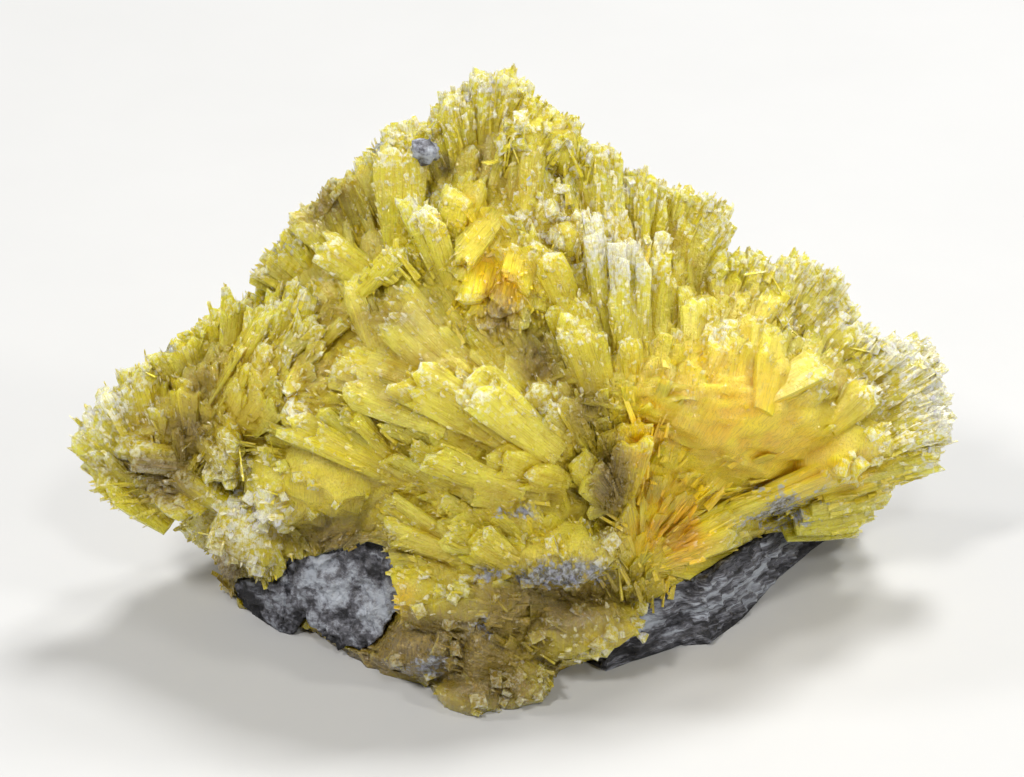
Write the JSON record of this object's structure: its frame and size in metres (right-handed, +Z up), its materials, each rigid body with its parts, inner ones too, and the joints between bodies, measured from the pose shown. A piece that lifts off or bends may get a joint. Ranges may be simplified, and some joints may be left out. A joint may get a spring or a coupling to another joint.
{
  "type": "brucite specimen",
  "caption": "Mineral specimen: radiating sheaves of yellow bladed crystals grown together on remnants of dark host rock, cut flat below to stand.",
  "frame": {"origin": "on the flat resting face, under the specimen, inside the outline of the base", "axes": "+X along the specimen's length, +Z up from the resting face, -Y towards the front face with the crystal fans"},
  "size_m": [0.0901, 0.045, 0.0568],
  "materials": {
    "brucite": "translucent, pearly to glassy",
    "host_rock": "dull, mottled dark stone"
  },
  "bodies": {
    "root": {"brucite_crystals": "brucite", "matrix_slab_right": "host_rock", "matrix_patch_left": "host_rock", "matrix_chip_top": "host_rock"}
  },
  "joints": []
}
